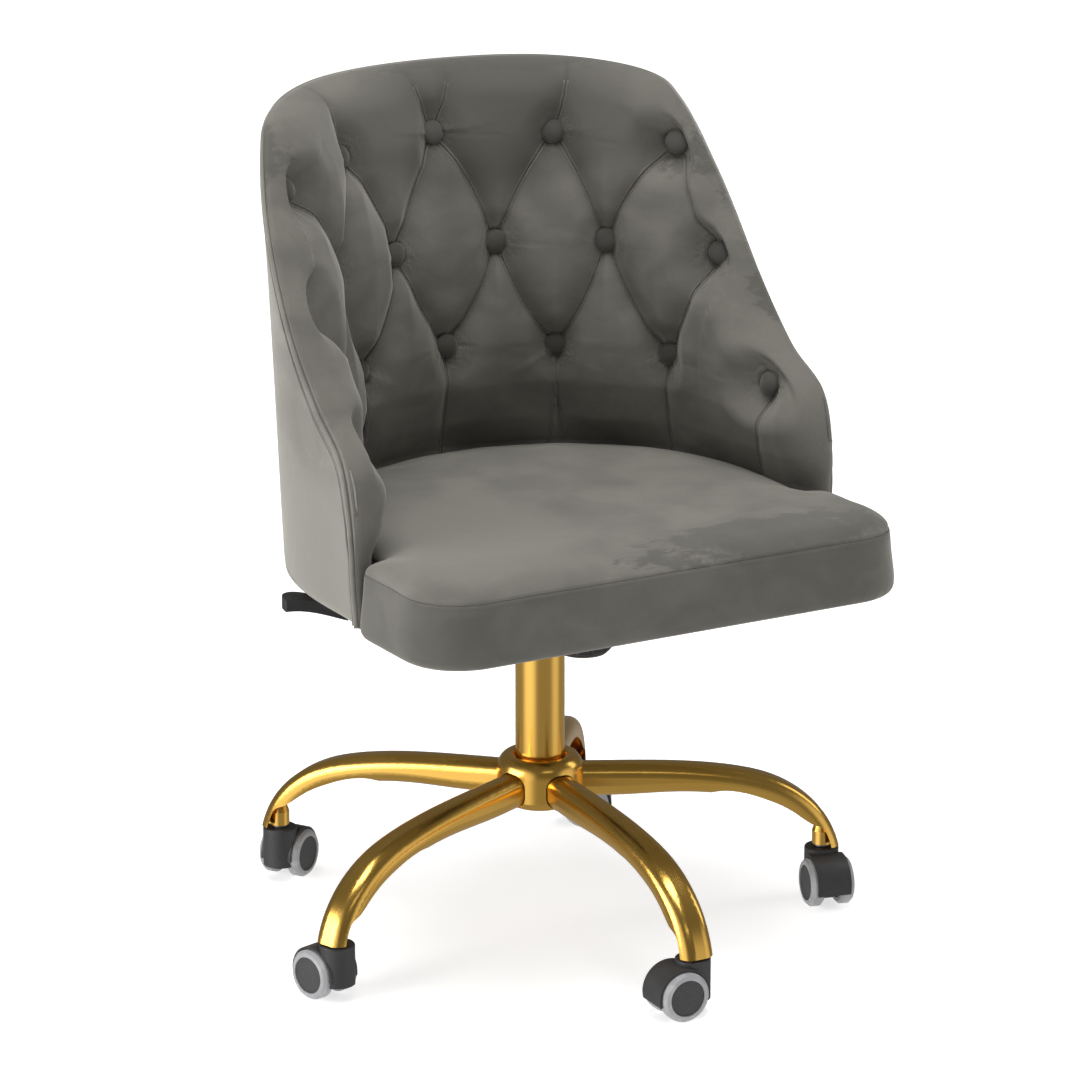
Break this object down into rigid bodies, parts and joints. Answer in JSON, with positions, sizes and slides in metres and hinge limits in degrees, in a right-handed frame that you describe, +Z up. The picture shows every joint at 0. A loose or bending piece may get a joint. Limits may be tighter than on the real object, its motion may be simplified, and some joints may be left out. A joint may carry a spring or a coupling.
{
  "type": "swivel office chair",
  "caption": "Swivel desk chair with a padded seat, buttoned bucket back, gas-lift column and star base on twin-wheel casters.",
  "frame": {"origin": "on the column's axis at floor level", "axes": "+Z up, the front of the seat towards -Y, +X to the right seen from the front"},
  "size_m": [0.6204, 0.6012, 0.8523],
  "materials": {
    "gold": "polished gold plating",
    "bush_plastic": "moulded",
    "bearing_steel": "zinc plated",
    "spring_steel": "oiled",
    "dark_steel": "black powder coat",
    "plywood": "raw",
    "shell_board": "moulded board, covered in velvet",
    "velvet": "short-pile velvet",
    "black_plastic": "fine texture",
    "hood_plastic": "fine texture",
    "hub_plastic": "spark-eroded texture",
    "tread_rubber": "smooth soft rubber"
  },
  "bodies": {
    "base": {"base_legs": "gold", "base_hub": "gold", "caster_sockets": "gold", "column_tube": "gold", "column_guide_bush": "bush_plastic", "thrust_bearing": "bearing_steel", "caster_1_stem": "bearing_steel", "caster_2_stem": "bearing_steel", "caster_3_stem": "bearing_steel", "caster_4_stem": "bearing_steel", "caster_5_stem": "bearing_steel"},
    "piston": {"piston_rod": "bearing_steel"},
    "lift": {"pressure_tube": "dark_steel", "mechanism_housing": "dark_steel", "tilt_pivot_pins": "bearing_steel", "tension_spring": "spring_steel"},
    "release_button": {"release_pin": "bearing_steel"},
    "tilt": {"seat_plate": "dark_steel", "seat_bolts": "bearing_steel", "lever_pivot_pin": "bearing_steel", "tension_bolt": "bearing_steel", "seat_board": "plywood", "seat_cushion": "velvet", "back_shell": "shell_board", "back_pad": "velvet", "back_buttons": "velvet"},
    "tension_control": {"tension_knob": "black_plastic"},
    "lever": {"lever_rod": "dark_steel", "lever_paddle": "black_plastic"},
    "caster_1": {"caster_1_hood": "hood_plastic", "caster_1_axle": "bearing_steel"},
    "caster_1_left_wheel": {"caster_1_left_core": "hub_plastic", "caster_1_left_tread": "tread_rubber"},
    "caster_1_right_wheel": {"caster_1_right_core": "hub_plastic", "caster_1_right_tread": "tread_rubber"},
    "caster_2": {"caster_2_hood": "hood_plastic", "caster_2_axle": "bearing_steel"},
    "caster_2_left_wheel": {"caster_2_left_core": "hub_plastic", "caster_2_left_tread": "tread_rubber"},
    "caster_2_right_wheel": {"caster_2_right_core": "hub_plastic", "caster_2_right_tread": "tread_rubber"},
    "caster_3": {"caster_3_hood": "hood_plastic", "caster_3_axle": "bearing_steel"},
    "caster_3_left_wheel": {"caster_3_left_core": "hub_plastic", "caster_3_left_tread": "tread_rubber"},
    "caster_3_right_wheel": {"caster_3_right_core": "hub_plastic", "caster_3_right_tread": "tread_rubber"},
    "caster_4": {"caster_4_hood": "hood_plastic", "caster_4_axle": "bearing_steel"},
    "caster_4_left_wheel": {"caster_4_left_core": "hub_plastic", "caster_4_left_tread": "tread_rubber"},
    "caster_4_right_wheel": {"caster_4_right_core": "hub_plastic", "caster_4_right_tread": "tread_rubber"},
    "caster_5": {"caster_5_hood": "hood_plastic", "caster_5_axle": "bearing_steel"},
    "caster_5_left_wheel": {"caster_5_left_core": "hub_plastic", "caster_5_left_tread": "tread_rubber"},
    "caster_5_right_wheel": {"caster_5_right_core": "hub_plastic", "caster_5_right_tread": "tread_rubber"}
  },
  "joints": [
    {"name": "seat_swivel", "type": "hinge", "parent": "base", "child": "piston", "pos_m": [0, 0, 0.138], "axis": [0, 0, 1], "continuous": true},
    {"name": "seat_height", "type": "slide", "parent": "piston", "child": "lift", "axis": [0, 0, 1], "range_m": [0, 0.08]},
    {"name": "release_press", "type": "slide", "parent": "lift", "child": "release_button", "axis": [0, 0, -1], "range_m": [0, 0.0035], "stiffness_N_per_m": 200, "springref_m": -0.002},
    {"name": "seat_tilt", "type": "hinge", "parent": "lift", "child": "tilt", "pos_m": [0, 0, 0.34], "axis": [-1, 0, 0], "range_deg": [0, 10], "stiffness_Nm_per_rad": 700, "springref_deg": -6.88, "deforming": ["tension_spring"]},
    {"name": "tension_turn", "type": "hinge", "parent": "tilt", "child": "tension_control", "pos_m": [0, -0.085, 0.32], "axis": [0, 0, 1], "continuous": true},
    {"name": "lever_lift", "type": "hinge", "parent": "tilt", "child": "lever", "pos_m": [-0.048, 0.03, 0.352], "axis": [0, 1, 0], "range_deg": [0, 4], "stiffness_Nm_per_rad": 3, "springref_deg": -5.73},
    {"name": "caster_1_swivel", "type": "hinge", "parent": "base", "child": "caster_1", "pos_m": [0, -0.297, 0.05], "axis": [0, 0, 1], "continuous": true},
    {"name": "caster_1_left_roll", "type": "hinge", "parent": "caster_1", "child": "caster_1_left_wheel", "pos_m": [-0.01799, -0.29637, 0.025], "axis": [0.0349, 0.9994, 0], "continuous": true},
    {"name": "caster_1_right_roll", "type": "hinge", "parent": "caster_1", "child": "caster_1_right_wheel", "pos_m": [-0.01799, -0.29637, 0.025], "axis": [0.0349, 0.9994, 0], "continuous": true},
    {"name": "caster_2_swivel", "type": "hinge", "parent": "base", "child": "caster_2", "pos_m": [0.28246, -0.09178, 0.05], "axis": [0, 0, 1], "continuous": true},
    {"name": "caster_2_left_roll", "type": "hinge", "parent": "caster_2", "child": "caster_2_left_wheel", "pos_m": [0.27811, -0.10924, 0.025], "axis": [-0.9703, 0.2419, 0], "continuous": true},
    {"name": "caster_2_right_roll", "type": "hinge", "parent": "caster_2", "child": "caster_2_right_wheel", "pos_m": [0.27811, -0.10924, 0.025], "axis": [-0.9703, 0.2419, 0], "continuous": true},
    {"name": "caster_3_swivel", "type": "hinge", "parent": "base", "child": "caster_3", "pos_m": [0.17457, 0.24028, 0.05], "axis": [0, 0, 1], "continuous": true},
    {"name": "caster_3_left_roll", "type": "hinge", "parent": "caster_3", "child": "caster_3_left_wheel", "pos_m": [0.19016, 0.23128, 0.025], "axis": [-0.5, -0.866, 0], "continuous": true},
    {"name": "caster_3_right_roll", "type": "hinge", "parent": "caster_3", "child": "caster_3_right_wheel", "pos_m": [0.19016, 0.23128, 0.025], "axis": [-0.5, -0.866, 0], "continuous": true},
    {"name": "caster_4_swivel", "type": "hinge", "parent": "base", "child": "caster_4", "pos_m": [-0.17457, 0.24028, 0.05], "axis": [0, 0, 1], "continuous": true},
    {"name": "caster_4_left_roll", "type": "hinge", "parent": "caster_4", "child": "caster_4_left_wheel", "pos_m": [-0.15931, 0.24982, 0.025], "axis": [0.5299, -0.848, 0], "continuous": true},
    {"name": "caster_4_right_roll", "type": "hinge", "parent": "caster_4", "child": "caster_4_right_wheel", "pos_m": [-0.15931, 0.24982, 0.025], "axis": [0.5299, -0.848, 0], "continuous": true},
    {"name": "caster_5_swivel", "type": "hinge", "parent": "base", "child": "caster_5", "pos_m": [-0.28246, -0.09178, 0.05], "axis": [0, 0, 1], "continuous": true},
    {"name": "caster_5_left_roll", "type": "hinge", "parent": "caster_5", "child": "caster_5_left_wheel", "pos_m": [-0.28712, -0.07439, 0.025], "axis": [0.9659, 0.2588, 0], "continuous": true},
    {"name": "caster_5_right_roll", "type": "hinge", "parent": "caster_5", "child": "caster_5_right_wheel", "pos_m": [-0.28712, -0.07439, 0.025], "axis": [0.9659, 0.2588, 0], "continuous": true}
  ],
  "couplings": [
    {"joint": "release_press", "follows": "lever_lift", "m_per_rad": 0.048}
  ]
}
